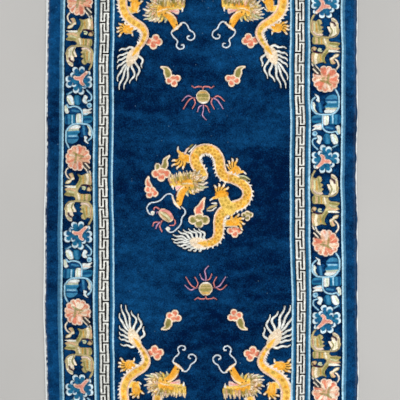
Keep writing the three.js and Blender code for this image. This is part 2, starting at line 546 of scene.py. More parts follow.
def dragon_head(spot, jaw, moustache):
    """A head with its cheek at the middle, its snout turned up, an open mouth, a beard and a thick mane.
    Jaw is how long the lower jaw is, against the longest one."""

    def jawed(*points):
        """Points of the lower jaw, drawn in towards the cheek where the jaw is short."""
        return [(x if x < 2 else 2 + (x - 2) * jaw, y) for x, y in points]

    skull = patch(spot, jawed((-7, 7), (-2, 6.5), (3, 4), (8, 1), (12, -0.5), (17, 0), (20, -3),
                              (19.5, -7.5), (13, -8.5), (6, -8.5), (0, -9), (-5, -7), (-8, -1)))
    snout = band(spot, [(-1, 3.5), (3, 5), (6.5, 8.5), (9.3, 13), (11.2, 17.5)], 2.8, 3.6, 3.6, 3.3, 2.7)
    shag = patch(spot, [(-2, 10), (-8, 10), (-13, 8.5), (-15.5, 5), (-16, 0), (-15, -5), (-12, -8),
                        (-6, -9.5), (2, -9.5), (0, 0)])
    clip_with_painted_shade(union(skull, snout, shag), 1.4)
    knot(shag, "olive", 0.4)
    for tip, yarn, shadow in MANE:
        tufted(spot, np.multiply(tip, 0.4), tip, yarn, shadow, 1.7)
    for reach in np.linspace(14.5, 7, 34):
        turn = draw.uniform(95, 250)
        tip = np.array((-3, 0)) + polar(reach, turn) * (1.1, 0.8)
        root = tip - polar(draw.uniform(3.5, 5.5), turn + draw.uniform(-25, 25))
        tuft = band(spot, [root, 0.5 * (root + tip) + polar(0.6, turn + 90), tip], 0.8, 1.15, 0.3)
        knot(tuft, "bark", 0.7, 0.3)
        knot(tuft, "brass", 0.4, 0.5)
        knot(tuft, pick(*SHAG), 0, 0.95)
        knot(band(spot, [0.4 * root + 0.6 * tip, tip], 0.6, 0.3), "cream", 0, 0.4)
    knot(skull, "bark", 0.3, 0.5)
    knot(skull, "gold")
    for place in draw.uniform((-7, -4), (17, 5), (20, 2)):
        tuft = jawed(place, place + polar(3.2, draw.uniform(170, 215)))
        where, gap = band(spot, tuft, 0.8, 0.5)
        inside = np.maximum(gap, gap_over(skull, where))
        knot((where, inside), pick("amber", "khaki", "honey", "brass", "tan"), 0, 0.6)
    knot(band(spot, [(-6, 4), (-5, -1), (-2, -5)], 1.4, 2.2, 1.6), "amber", 0, 0.7)
    knot(band(spot, jawed((-1, -3), (4, -4), (9, -4.5)), 2.0, 2.4, 1.4), "amber", 0, 0.8)
    knot(band(spot, jawed((2, -1), (-3, 0.5), (-7, 2)), 0.6, 0.7, 0.5), "cream", 0, 0.6)
    for place in draw.permutation(np.linspace(-6, 19.5, 18)):
        root = np.array(jawed((place, draw.uniform(-7, -3)))[0])
        tip = np.array(jawed((place + draw.uniform(-1.8, 0.8), -11.7 + draw.uniform(-1.6, 2.2)))[0])
        tuft = band(spot, [root, 0.5 * root + 0.5 * tip, tip], 0.6, 1.25, 0.3)
        knot(tuft, "bark", 0.45, 0.45)
        knot(tuft, pick("tan", "gold", "peach", "khaki", "gold", "olive"), 0, 0.85)
        knot(band(spot, [0.4 * root + 0.6 * tip, tip], 0.7, 0.4), "cream", 0, 0.6)
    knot(band(spot, [(-4, 6.5), (-1, 5), (1, 5)], 0.9, 0.9, 0.5), "olive", 0, 0.7)
    knot(patch(spot, jawed((4, 1), (8, 2.6), (12, 4.6), (14, 4), (14, -0.5), (10, 0))), "blush")
    knot(band(spot, jawed((5, 1.4), (10, 1.6), (13, 2.2)), 0.7, 0.8, 0.5), "rose", 0, 0.8)
    knot(snout, "bark", 0.35, 0.5)
    knot(band(spot, [(5, 3), (9, 5.4), (12, 8)], 0.5, 1.0, 0.9), "maroon")
    knot(band(spot, jawed((17.8, -1), (17.6, 2)), 1.1, 0.4), "ivory")
    knot(snout, "honey")
    knot(band(spot, [(0, 5), (5, 9), (8.5, 14), (10.5, 18)], 1.2, 2.0, 1.8, 1.0), "amber", 0, 0.75)
    knot(band(spot, [(2, 2.2), (8, 5.2), (11.6, 10)], 0.5, 0.7, 0.5), "cream", 0, 0.85)
    knot(discs(spot, [(11.8, 15)], 0.9), "bark")
    knot(discs(spot, [(8, 17.6)], 0.6), "bark", 0, 0.6)
    knot(band(spot, moustache, 0.7, 1.3, 0.7), "cream")
    knot(discs(spot, [(-3, 4.5), (0.6, 3.4)], 0.8), "bark", 0, 0.8)


def whisker(spot, points, knob=None):
    """A long curling whisker, one or two knots wide, which may end in a round knob."""
    line = band(spot, points, 0.52)
    clip_with_painted_shade(line, 0.8)
    knot(line, "ice")
    if knob:
        knot(discs(spot, [knob], 2.0), "ivory")
        knot(discs(spot, [knob], 0.7), "celadon")


def pearl(spot, ball, wisps, wisp_half, bands, rim):
    """A flaming pearl: a ball with thin curling wisps. Each of its bands has a yarn, a half width, a share
    and its points."""
    for k, points in enumerate(wisps):
        wisp = band(spot, points, wisp_half, wisp_half, 0.6 * wisp_half)
        clip_with_painted_shade(wisp, 0.8)
        knot(wisp, ("rose", "lilac", "rose")[k % 3])
    clip_with_painted_shade(ball, 1.2)
    knot(ball, "cream", 0.1)
    knot(ball, rim, -0.5)
    for yarn, half_width, share, points in bands:
        knot(lens(spot, points, half_width), yarn, 0, share)


# The roundel in the middle. Each cloud has its middle, its turn, its size, its stretch and its yarn.
middle = Spot(0, 0)
MIDDLE_CLOUDS = ((-39.8, 25.2, 0, 1.45, 0.8, "coral"), (-49.3, 7.2, -30, 1.1, 1.1, "coral"),
                 (-2, -21, 0, 1.6, 0.75, "olive"), (46.5, -16.5, 0, 0.85, 1.2, "olive"),
                 (33.8, -32, 0, 1.15, 1.0, "coral"))
CLOUD_TAILS = (([(-38, 30), (-36, 34), (-36, 38), (-32, 42)], (2.8, 2.6, 1.7, 0.4), "olive"),
               ([(-43.5, 30), (-43.5, 32)], (2.3, 2.3), "olive"),
               ([(-52, 12), (-53.5, 16), (-52.5, 20.5)], (2.6, 1.9, 0.5), "coral"),
               ([(-2, -16), (-3, -12), (0, -8.5), (1.5, -4), (3.5, 0)], (3.4, 3.2, 2.8, 1.6, 0.4), "coral"))
middle_clouds = []
for x, y, turn, size, stretch, yarn in MIDDLE_CLOUDS:
    middle_clouds.append((Spot(x, y, turn, size=size, stretch=stretch), yarn))
for spot, yarn in middle_clouds:
    clip_with_painted_shade(trefoil(spot), 1.4)
for points, half_widths, yarn in CLOUD_TAILS:
    tail = band(middle, points, *half_widths)
    clip_with_painted_shade(tail, 1.4)
    edged(tail, yarn)
for spot, yarn in middle_clouds:
    cloud(spot, yarn)
MIDDLE_WISPS = ([(-5.5, 5), (-9, 8), (-11.5, 7.6), (-12, 5.5)], [(-6, 3), (-8.5, 3.6), (-9, 2)],
                [(-2, -4), (-6.5, -6.6), (-12, -7.2), (-13.6, -10.5)],
                [(-4.5, -6), (-6.6, -11), (-4.5, -16)], [(-6.5, -7), (-9, -9.5), (-10.5, -13)],
                [(5.5, -2.5), (9, -5.5), (8.2, -9.4), (3.6, -10)])
MIDDLE_BANDS = (("rose", 1.5, 0.8, [(-4.5, 5.2), (0, 4.4), (4, 1.6), (6.4, -2.5)]),
                ("celadon", 1.3, 0.9, [(-5, 3), (0, -0.6), (4.5, -5)]),
                ("olive", 0.55, 0.9, [(-5.5, 1.6), (-1, -1.6), (3, -5.8)]),
                ("tan", 0.9, 0.8, [(-4, -0.6), (-1, -3.6), (2, -5.8)]),
                ("olive", 0.5, 0.8, [(-3, 4), (1, 1.4), (5, -3)]))
middle_pearl = Spot(-34.8, -17.6)
oval = band(middle_pearl, [(-2.8, 2.4), (2.8, -2.4)], 4.3, 4.9, 4.3)
pearl(middle_pearl, oval, MIDDLE_WISPS, wisp_half=0.55, bands=MIDDLE_BANDS, rim="peach")

MIDDLE_SPINE = [(1.5, 23), (-1, 28), (-5, 34.5), (-6, 41), (-2, 47), (6, 49), (13, 46.5), (18, 39),
                (19.5, 29), (23, 22), (32, 19), (41, 14), (46, 7), (45, -1), (40, -6), (30, -9.5),
                (21, -15), (18, -23), (18, -32), (16, -40), (10, -44.5), (3, -45.5)]
MIDDLE_GIRTHS = (5.0, 5.2, 5.2, 5.0, 4.8, 5.0, 5.0, 4.6, 4.5, 4.6, 5.2, 5.8, 5.2, 4.8, 4.2, 3.6)
MIDDLE_QUILL = [(4, -45.2), (-3, -44.8), (-9.5, -43.2)]
MIDDLE_LOCKS = [[(3.4, -41), (3, -35.5), (-2, -30.5)], [(0.5, -41), (-1, -35.5), (-7, -30.5)],
                [(-2.5, -41), (-5.5, -35.5), (-12, -31)], [(-6, -41), (-10.5, -36), (-17.5, -32)],
                [(-9, -41.5), (-15, -37), (-22.5, -33)], [(-10, -42.5), (-19, -39.3), (-28, -37)],
                [(-11, -43.5), (-20, -41.8), (-29, -40.8)], [(-10.5, -45), (-19, -44.6), (-27.5, -44)],
                [(-9, -46.5), (-16, -47.3), (-23.5, -47)], [(-7, -47.5), (-12.5, -49.3), (-18.5, -49.5)],
                [(-4, -48), (-8.5, -50.5), (-13, -51.8)], [(-0.5, -48.5), (-4, -51), (-7.5, -52.6)],
                [(3, -48.5), (0.5, -51), (-2, -52.8)]]

# Each foot has its arm's half width, the arm, the tips of its toes and its thumb.
MIDDLE_FEET = [(3.4, [(-6, 38), (-12, 39), (-18, 41)], [(-29, 37), (-29, 32), (-24, 29), (-17.5, 29)],
                [(-20, 44), (-23, 47), (-23, 51)]),
               (3.6, [(23, 21), (29, 23), (35, 27.5)], [(25, 33), (27, 37), (31, 39.5), (36, 39.5)],
                [(38, 26), (42, 26), (45, 24)]),
               (5.2, [(27, -11), (24, -4), (20.5, 3.5)], [(13, 12.5), (17.5, 14.5), (22.5, 14), (27, 11)],
                [(15, 1), (12, 0), (9, -2)]),
               (3.4, [(22, -25), (28, -25), (34.5, -24)], [(38, -16), (43.5, -20), (44, -26), (42, -32)],
                [(31, -21), (31, -17), (34, -15)])]
dragon(middle, MIDDLE_SPINE, MIDDLE_GIRTHS, crest_side=-1, crest_turns_at=0.42, quill=MIDDLE_QUILL,
       locks=MIDDLE_LOCKS, feet=MIDDLE_FEET, hem=0.9, scale_rows=((0.2, -0.55), (0.6, -0.2)),
       scale_half=1.35)
thigh = band(middle, [(29, -11), (24.5, -5), (22, 0.5)], 6.0, 5.0, 4.2)
knot(thigh, "gold")
for point in ((20.5, -3), (24.5, -2), (27.5, -4.5), (22.5, -6.5), (26.5, -8.5), (30, -9), (24, 1.5)):
    knot(discs(middle, [point], 1.55), pick("khaki", "amber"), 0, 0.7)
knot(band(middle, [(16.5, 4), (20.5, 4.5), (24.5, 4)], 2.6, 3.4, 2.6), "amber", 0, 0.8)
ELBOW_TUFTS = (([(-15, 46), (-12, 50), (-8, 53.5)], (0.9, 1.1, 0.4), "olive"),
               ([(-16, 44.5), (-14, 48.5), (-12, 50)], (0.9, 0.8, 0.4), "blush"),
               ([(-12, 46), (-8, 50), (-5, 53)], (0.5, 0.6, 0.4), "ivory"),
               ([(39, 22), (44, 21), (49, 18)], (0.8, 0.9, 0.3), "celadon"),
               ([(40, 20), (44, 19), (47, 16)], (0.9, 0.8, 0.3), "olive"),
               ([(15, -7), (10, -9), (6, -11)], (1.0, 1.1, 0.4), "tan"),
               ([(15, -9), (11, -12), (6, -12.5)], (0.6, 0.6, 0.3), "ivory"),
               ([(15, -5), (11, -5)], (0.9, 0.5), "ivory"))
for points, half_widths, yarn in ELBOW_TUFTS:
    tuft = band(middle, points, *half_widths)
    knot(tuft, "bark", 0.6, 0.8)
    knot(tuft, yarn)
whisker(middle, [(-28, 2), (-31, 4), (-35, 3), (-40, -2), (-44, -4), (-50, -5), (-53.5, -9), (-53, -13),
                 (-51, -16), (-48, -17)], knob=(-48, -15))
whisker(middle, [(-19, -9), (-16, -12), (-16, -16), (-19, -20), (-20, -26), (-23, -30), (-28, -34),
                 (-32, -34), (-35, -31)], knob=(-33, -31))
dragon_head(Spot(-16, 14.5, 197), jaw=0.69, moustache=[(11.8, 22.5), (15, 16.5), (16, 9)])

# The corners. Each has its middle, its mirroring and how far its head lies to the side.
CORNER_SPINE = [(-11, 30), (-5.8, 22.5), (-3.5, 15), (-7, 8.5), (-16, 2.5), (-23, -4), (-26.5, -12),
                (-27, -20), (-25, -29), (-18, -37), (-9, -41), (1, -37), (6, -29), (8, -20)]
CORNER_GIRTHS = (2.4, 3.3, 4.0, 4.5, 4.8, 4.6, 4.6, 4.6, 4.4, 4.3)
CORNER_LOBES = (95, 5, -65, 180)
CORNER_QUILL = [(-11, 30), (-16, 37), (-19.5, 45.5)]
CORNER_LOCKS = [[(-16, 29), (-23, 29.5), (-30, 31.5)], [(-19, 35), (-26, 35), (-31.5, 38.5)],
                [(-20, 38.5), (-27, 39.5), (-31.5, 43.5)], [(-20, 42), (-27.5, 44.5), (-31.5, 49.5)],
                [(-20, 44.5), (-29, 53), (-31.5, 62)], [(-20, 46), (-26.5, 58.5), (-30, 70.5)],
                [(-19, 46), (-21.5, 58.5), (-25, 70)], [(-17, 43), (-14.5, 55.5), (-19, 64)],
                [(-14.5, 39), (-9.5, 51), (-12, 61)], [(-11.5, 34), (-6.5, 41), (-6.5, 48.5)]]
CORNER_FEET = [(3.4, [(-11, 6), (-16, 8), (-22, 10.5)],
                [(-31, 17), (-33, 12.5), (-33, 8.5), (-30.5, 4), (-24, 3.5)],
                [(-20, 13), (-17, 14), (-16, 17)]),
               (3.2, [(-23, -9), (-15, -9.5), (-13.5, -15)],
                [(-6, -18), (-11.5, -23), (-17, -23), (-20.5, -20)],
                [(-14, -10), (-12, -7), (-9, -8.5)])]
CORNERS = ((-51, -177.6, (1, 1), 0), (57, -178.3, (-1, 1), -1.2), (-52.5, 179.2, (1, -1), 0),
           (54.7, 180.5, (-1, -1), -2.5))
for x, y, mirror, head_shift in CORNERS:
    corner = Spot(x, y, 0, mirror)
    corner_cloud = Spot(5.3, 22.6, size=1.3, stretch=0.78, within=corner)
    clip_with_painted_shade(trefoil(corner_cloud, CORNER_LOBES), 1.4)
    cloud(corner_cloud, "coral", CORNER_LOBES)
    dragon(corner, CORNER_SPINE, CORNER_GIRTHS, crest_side=-1, crest_turns_at=1.0, quill=CORNER_QUILL,
           locks=CORNER_LOCKS, feet=CORNER_FEET, hem=1.4, scale_rows=((0.1,), ()), scale_half=1.7)
    face = Spot(head_shift, 0, within=corner)
    whisker(face, [(25, 10), (23, 14), (25, 18), (29, 22), (28, 27), (31, 30), (35, 29), (35, 26), (33, 26)])
    whisker(face, [(32, 4.5), (36, 4), (39, 7), (41, 11), (45, 14), (46, 18), (43, 21), (39.5, 20.5),
                   (38.5, 18), (40.5, 17)])
    dragon_head(Spot(16, -9, within=face), jaw=1.0, moustache=[(8, 21.5), (12.5, 18), (17, 14)])

# The pearls and small clouds between the middle and the corners, each with its middle and its mirroring.
LEFT_WISPS = ([(0, 7), (-1, 10), (-6, 10), (-8, 9), (-11, 11)],
              [(-6, -1), (-10, -1), (-14, 1), (-17, 0), (-21, -4)],
              [(-10, -1), (-14, -3), (-17, -7), (-20, -12)], [(-9, -2), (-8, -6), (-11, -12)],
              [(0, -8), (-4, -10), (-6, -15)])
RIGHT_WISPS = tuple([(-x, y) for x, y in points] for points in LEFT_WISPS)
LAST_WISP = ([(0, -8), (0, -13), (-1, -18), (1, -21), (3, -23)],)
FIELD_BANDS = (("olive", 1.7, 0.85, [(-4.8, 1), (0, 1.1), (4.8, 1)]),
               ("olive", 0.8, 0.85, [(-4.4, -2.3), (4.4, -2.3)]),
               ("honey", 0.8, 0.7, [(-3.4, 4.4), (3.4, 4.4)]),
               ("ivory", 0.8, 1.0, [(-3.4, -5.3), (0, -6), (3.4, -5.3)]))
FIELD_WISPS = LEFT_WISPS + RIGHT_WISPS + LAST_WISP
FIELD_PEARLS = ((2, 101, 1), (4.7, -90.7, -1))
PEARL_RADIUS = 6.6
for x, y, end in FIELD_PEARLS:
    field_pearl = Spot(x, y, 0, (1, end))
    ball = discs(field_pearl, [(0, 0)], PEARL_RADIUS)
    pearl(field_pearl, ball, FIELD_WISPS, wisp_half=0.44, bands=FIELD_BANDS, rim="tan")
FIELD_LOBES = (-160, -75, 10)
FIELD_CLOUDS = ((-29.3, 121.8, (1, 1)), (33.3, 121.8, (-1, 1)), (-29, -121.8, (1, -1)),
                (35.8, -121.8, (-1, -1)))
for x, y, mirror in FIELD_CLOUDS:
    spot = Spot(x, y, 0, mirror)
    tail = band(spot, [(-3, 0), (-4, 4), (-5.5, 7.5), (-10, 9.5)], 3.0, 3.4, 2.0, 0.5)
    head = Spot(1.5, -2.8, size=1.15, within=spot)
    clip_with_painted_shade(union(tail, trefoil(head, FIELD_LOBES)), 1.6)
    edged(tail, "olive")
    cloud(head, "coral", FIELD_LOBES)


def stray_fibres(count, inner, outer):
    """Pale blue fibres caught in single knots between two lines round the field."""
    rows, columns = np.nonzero((frame_line > inner) & (frame_line < outer))
    picked = draw.choice(len(rows), count, replace=False)
    places = rows[picked], columns[picked]
    dye[places] += (YARN["sky"] - dye[places]) * draw.uniform(0.05, 0.3, count)[:, None]


FIELD_EDGE = 254.0
stray_fibres(count=70, inner=0, outer=FIELD_EDGE)

# Hand weaving draws the long edges and the pattern in unevenly. The rows give, at a place along the length,
# how far the left and the right edge lie inside the widest line, and where the guard stripes run, in mm.
EDGE_ROWS = np.array((
    (-878, 5.0, 4.0), (-740, 6.0, 3.0), (-600, 7.4, 1.6), (-500, 5.5, 0.0), (-440, 3.6, 1.8),
    (-325, 0.0, 2.0), (-180, 1.6, 2.4), (-60, 1.5, 3.2), (50, 4.6, 5.7), (140, 6.0, 4.7),
    (255, 5.2, 2.2), (400, 7.2, 4.5), (545, 9.2, 2.6), (700, 8.0, 3.2), (878, 5.0, 4.0)))
GUARD_ROWS = np.array((
    (-878, -397.5, -305.0, -252.0, 261.0, 312.0, 409.0), (-560, -399.0, -305.0, -251.5, 263.0, 312.0, 410.0),
    (-430, -402.5, -306.8, -254.0, 265.1, 312.5, 412.0), (-310, -404.9, -309.4, -252.5, 265.5, 315.0, 411.3),
    (-120, -404.0, -307.8, -253.5, 260.2, 313.8, 410.0), (60, -402.0, -309.0, -257.2, 258.9, 312.3, 407.0),
    (220, -399.5, -308.3, -254.8, 260.0, 313.2, 408.5), (380, -399.0, -308.0, -255.0, 258.2, 311.5, 410.0),
    (545, -396.3, -304.0, -252.3, 259.4, 311.7, 408.0), (878, -396.0, -304.0, -252.0, 259.5, 311.8, 408.0)))
GUARD_LINES = (257.5, 310.5, 404.9)
STEADY_FIELD = 200.0
SHOULDER = ((0.0, 1.2, 3.2, 6.0), (7.0, 9.8, 11.5, RUG_HEIGHT))
CLIP_DEPTH = 1.1
LEFT, RIGHT = 1, 2
FREE_EDGE = 30.0
SIDE_DRIFT, LENGTH_DRIFT, KNOT_SHIFT = 0.5, 0.6, 0.5
TUFT_RUFFLE, PATCH_RUFFLE, TREAD_RUFFLE = 0.6, 0.25, 0.15
PILE_SINK, RUFFLE_LIMIT = 0.5, 0.9


def eased(table, places, column):
    """One column of a table of rows at places along the length, eased from row to row."""
    row = np.clip(np.searchsorted(table[:, 0], places) - 1, 0, len(table) - 2)
    below, above = table[row], table[row + 1]
    t = np.clip((places - below[:, 0]) / (above[:, 0] - below[:, 0]), 0, 1)
    return below[:, column] + (above[:, column] - below[:, column]) * t * t * (3 - 2 * t)


def corners(cells):
    """The mean of the knots that meet at each corner of the squared paper."""
    wide = np.pad(cells, 1, "edge")
    return (wide[1:, 1:] + wide[1:, :-1] + wide[:-1, 1:] + wide[:-1, :-1]) / 4


chart_lines = np.array((HALF_PILE, *GUARD_LINES[::-1], STEADY_FIELD))
chart_lines = np.concatenate((-chart_lines, chart_lines[::-1]))
woven_lines = np.stack((
    eased(EDGE_ROWS, gap_y, LEFT) - HALF_PILE, *(eased(GUARD_ROWS, gap_y, k) for k in (1, 2, 3)),
    np.full(len(gap_y), -STEADY_FIELD), np.full(len(gap_y), STEADY_FIELD),
    *(eased(GUARD_ROWS, gap_y, k) for k in (4, 5, 6)), HALF_PILE - eased(EDGE_ROWS, gap_y, RIGHT)), axis=1)
inset = np.minimum(HALF_PILE - np.abs(gap_x)[None, :], HALF_LENGTH - np.abs(gap_y)[:, None])
inland = np.clip(inset / FREE_EDGE, 0, 1)
rug_x = np.stack([np.interp(gap_x, chart_lines, lines) for lines in woven_lines])
rug_x += inland * corners(SIDE_DRIFT * uneven(90, 40) + KNOT_SHIFT * uneven(0, 0))
rug_y = np.repeat(gap_y[:, None], COLUMNS + 1, axis=1)
rug_y += inland * corners(LENGTH_DRIFT * uneven(60, 90) + KNOT_SHIFT * uneven(0, 0))
ruffle = corners(TUFT_RUFFLE * uneven(0, 0) + PATCH_RUFFLE * uneven(9, 9) + TREAD_RUFFLE * uneven(70, 50))
pile_top = np.interp(inset, *SHOULDER) - PILE_SINK + np.clip(ruffle, -RUFFLE_LIMIT, RUFFLE_LIMIT)

FIBRES_PER_TUFT = 2.6


def yarn_fuzz():
    """Shader group for the fibres of spun yarn: an uneven shade round 1, a roughness and a height."""
    group = bpy.data.node_groups.new("yarn_fuzz", "ShaderNodeTree")
    group.interface.new_socket("Grain", in_out="INPUT", socket_type="NodeSocketFloat")
    for name in ("Shade", "Roughness", "Height"):
        group.interface.new_socket(name, in_out="OUTPUT", socket_type="NodeSocketFloat")
    enter = node(group, "NodeGroupInput")
    leave = node(group, "NodeGroupOutput")
    place = node(group, "ShaderNodeTexCoord")
    tufts = node(group, "ShaderNodeTexVoronoi")
    fibres = node(group, "ShaderNodeTexNoise", Detail=4.0)
    finer = node(group, "ShaderNodeMath")
    finer.operation = "MULTIPLY"
    finer.inputs[1].default_value = FIBRES_PER_TUFT
    shade = node(group, "ShaderNodeMapRange", From_Min=0.25, From_Max=0.75, To_Min=0.80, To_Max=1.20)
    rough = node(group, "ShaderNodeMapRange", To_Min=0.82, To_Max=1.0)
    height = node(group, "ShaderNodeMath")
    height.operation = "SUBTRACT"
    wire(group, place, "Object", tufts, "Vector")
    wire(group, place, "Object", fibres, "Vector")
    wire(group, enter, "Grain", tufts, "Scale")
    wire(group, enter, "Grain", finer, 0)
    wire(group, finer, "Value", fibres, "Scale")
    wire(group, fibres, "Fac", shade, "Value")
    wire(group, fibres, "Fac", rough, "Value")
    wire(group, fibres, "Fac", height, 0)
    wire(group, tufts, "Distance", height, 1)
    wire(group, shade, "Result", leave, "Shade")
    wire(group, rough, "Result", leave, "Roughness")
    wire(group, height, "Value", leave, "Height")
    return group


FUZZ = yarn_fuzz()


def yarn_material(name, grain, bump, sheen):
    """A matte yarn cloth that takes its colour from the knots' own yarns, with fibres of that grain."""
    material, shader, tree = plain_material(name)
    yarns = node(tree, "ShaderNodeAttribute")
    yarns.attribute_name = "yarn"
    fuzz = node(tree, "ShaderNodeGroup")
    fuzz.node_tree = FUZZ
    fuzz.inputs["Grain"].default_value = grain
    tone = node(tree, "ShaderNodeVectorMath")
    tone.operation = "SCALE"
    relief = node(tree, "ShaderNodeBump", Strength=bump, Distance=1.0 * MM)
    wire(tree, yarns, "Color", tone, 0)
    wire(tree, fuzz, "Shade", tone, "Scale")
    wire(tree, tone, "Vector", shader, "Base Color")
    wire(tree, fuzz, "Roughness", shader, "Roughness")
    wire(tree, fuzz, "Height", relief, "Height")
    wire(tree, relief, "Normal", shader, "Normal")
    shader.inputs["Specular IOR Level"].default_value = 0.02
    shader.inputs["Sheen Weight"].default_value = sheen
    shader.inputs["Sheen Roughness"].default_value = 0.45
    return material


dyed_wool = yarn_material("dyed_wool", grain=620.0, bump=0.45, sheen=0.015)


def numbered_grid(columns, rows, places):
    """A flat grid bent to its places, in mm, with its faces numbered row by row."""
    bm = bmesh.new()
    number = bm.faces.layers.int.new("knot")
    bmesh.ops.create_grid(bm, x_segments=columns, y_segments=rows, size=1.0)
    for vert, place in zip(bm.verts, (places * MM).reshape(-1, 3).tolist()):
        vert.co = place
    for count, face in enumerate(bm.faces):
        face[number] = count
    return bm, number


def walls(bm, number, height):
    """Carries the open edge of a grid straight to a height, in mm. Gives the new open edge."""
    rim = {edge: edge.link_faces[0][number] for edge in bm.edges if edge.is_boundary}
    sides = bmesh.ops.extrude_edge_only(bm, edges=list(rim))["geom"]
    for edge, count in rim.items():
        edge.smooth = False
        for face in edge.link_faces:
            face[number] = count
    for vert in (g for g in sides if isinstance(g, bmesh.types.BMVert)):
        vert.co.z = height * MM
    hem = [g for g in sides if isinstance(g, bmesh.types.BMEdge) and g.is_boundary]
    for edge in hem:
        edge.smooth = False
    return hem


def dye_faces(piece, colours):
    """Gives each face the yarn of the knot whose number it carries."""
    numbers = np.zeros(len(piece.data.polygons), np.int32)
    piece.data.attributes["knot"].data.foreach_get("value", numbers)
    piece.data.attributes.remove(piece.data.attributes["knot"])
    tints = np.ones((len(numbers), 4), np.float32)
    tints[:, :3] = colours.reshape(-1, 3)[numbers]
    piece.data.attributes.new("yarn", "FLOAT_COLOR", "FACE").data.foreach_set("color", tints.ravel())


KNOT_SPECKLE, TUFT_SPECKLE = 0.12, 0.08
speckle = np.exp(KNOT_SPECKLE * uneven(0, 0) + TUFT_SPECKLE * uneven(9, 6))[..., None]


def pile_piece(name, kept, tone_scale=1.0):
    """A closed piece of pile with a face for each knot that is kept, its yarns scaled in tone."""
    places = np.dstack((rug_x, rug_y, pile_top - CLIP_DEPTH * corners(clipped)))
    bm, number = numbered_grid(COLUMNS, ROWS, places)
    bmesh.ops.delete(bm, geom=[f for f, keep in zip(bm.faces, kept.ravel()) if not keep], context="FACES")
    bmesh.ops.triangle_fill(bm, edges=walls(bm, number, FOUNDATION_HEIGHT), use_beauty=True)
    bmesh.ops.recalc_face_normals(bm, faces=bm.faces)
    piece = add_piece(name, bm, dyed_wool)
    dye_faces(piece, dye * speckle * tone_scale)
    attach(piece, "root")
    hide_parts("rug_body")
    return piece


FIELD_THIRD = 210.0
in_field = frame_line < FIELD_EDGE
field_middle = pile_piece("field_middle", in_field & (np.abs(along) < FIELD_THIRD))
field_upper_end = pile_piece("field_upper_end", in_field & (along >= FIELD_THIRD))
field_lower_end = pile_piece("field_lower_end", in_field & (along <= -FIELD_THIRD))

# Key border. The first band round the field: a dark fret of interlocked T shapes on ivory, a few knots wide,
# between light and middle blue guard stripes. It is knotted in the same rows as the field.
KEY_EDGE = 314.0
GUARD_STRIPES = ((FIELD_EDGE, "sky"), (260.0, "azure"), (267.0, "night"), (271.3, "bone"), (296.4, "night"),
                 (300.0, "azure"), (308.2, "sky"))
STEM_HALF, BAR_HALF = 2.2, 2.8
FRET_REPEAT = 59.8
FRET_INNER = 270.4
FRET_DEPTH = 27.0
BAR_REACH = 22.0
INNER_BAR, OUTER_BAR = 8.9, 18.4
WHOLE_RUG = (slice(None), slice(None))


def stripe(inner, outer, yarn):
    """Knots a plain stripe all round the rug."""
    off = np.maximum(inner - frame_line, frame_line - outer)
    knot((WHOLE_RUG, off), yarn)


for inner, yarn in GUARD_STRIPES:
    stripe(inner, KEY_EDGE, yarn)
on_side = np.abs(across) > np.abs(along) - LONGER
fret_run = np.where(on_side, along, across)
fret_in = frame_line - FRET_INNER
to_stem = np.abs((fret_run / FRET_REPEAT + 0.5) % 1 - 0.5) * FRET_REPEAT
to_other = FRET_REPEAT / 2 - to_stem
fret = np.minimum.reduce((
    np.hypot(to_stem, np.maximum(fret_in - OUTER_BAR, 0)) - STEM_HALF,
    np.hypot(to_other, np.maximum(INNER_BAR - fret_in, 0)) - STEM_HALF,
    np.hypot(np.maximum(to_stem - BAR_REACH, 0), fret_in - OUTER_BAR) - BAR_HALF,
    np.hypot(np.maximum(to_other - BAR_REACH, 0), fret_in - INNER_BAR) - BAR_HALF))
in_band = np.maximum(-fret_in, fret_in - FRET_DEPTH)
knot((WHOLE_RUG, np.maximum(fret, in_band)), "bark")
key_border = pile_piece("key_border", (frame_line >= FIELD_EDGE) & (frame_line < KEY_EDGE))

# Flower border. The broad band of the rug: pink peonies and blue lotuses in turn, joined by leafy scrolls in
# tan, peach and olive or in blues and white, on a dark ground. It runs round all four sides.
FLOWER_EDGE = 401.4
INNER_DARK, OUTER_DARK = 317.6, 398.2
BAND_X, BAND_Y = 123.8, 269.0
LEFT_STOPS = (BAND_Y, 195.5, 118, 40, -37, -114, -190)
RIGHT_STOPS = (-BAND_Y, -194, -122, -45, 38, 119, 193)
END_STOPS = (BAND_X, 41, -41)
FLOWER_REPEAT = 77.5
BAND_FILL = 1.03
SIDE_TONE_SLOPE = 0.08
COOL_WASH = np.array((0.94, 1.0, 1.03))


def ring(count, reach, start=0.0):
    """Points evenly round a circle."""
    return [polar(reach, start + 360 * k / count) for k in range(count)]


def peony(spot):
    """A full pink flower, open on the stem side: pale-edged petals streaked outwards from an olive heart."""
    lobes = ring(13, 9.6, -24.0)[:12]
    outline = union(*(discs(spot, [lobe], draw.uniform(2.9, 3.4)) for lobe in lobes))
    clip_with_painted_shade(outline, 1.0)
    knot(outline, "blush")
    knot(outline, "cream", 0, 0.4)
    knot(outline, "peach", -0.9)
    knot(outline, "coral", -1.1, 0.6)
    knot(discs(spot, [(0, 0)], 8.6), "peach")
    for turn in np.arange(-20.0, 295.0, 12.0):
        root = polar(draw.uniform(2.5, 5.0), turn)
        tip = polar(draw.uniform(8.5, 11.2), turn + draw.uniform(-6, 6))
        streak = band(spot, [root, tip], 0.6, 1.3, 0.8)
        knot(streak, pick("coral", "coral", "blush", "peach", "peach", "cream"), 0, 0.8)
    for points, half_width in (([(5, 1.4), (0, 2.6), (-4.6, 5.2)], 1.3),
                               ([(-3, -4.4), (-2.4, -1), (-2, 3.5)], 1.3), ([(1, -1), (3.4, -0.4)], 0.9)):
        knot(lens(spot, points, half_width), "olive", 0, 0.7)
    knot(band(spot, [polar(13, -42), polar(6.2, -42)], 4.4, 0.3), "night", 0, 0.9)
    for outer_turn, inner_turn in ((-40, -36), (-54, -58)):
        knot(band(spot, [polar(15, outer_turn), polar(9.0, inner_turn)], 0.5), "cream")


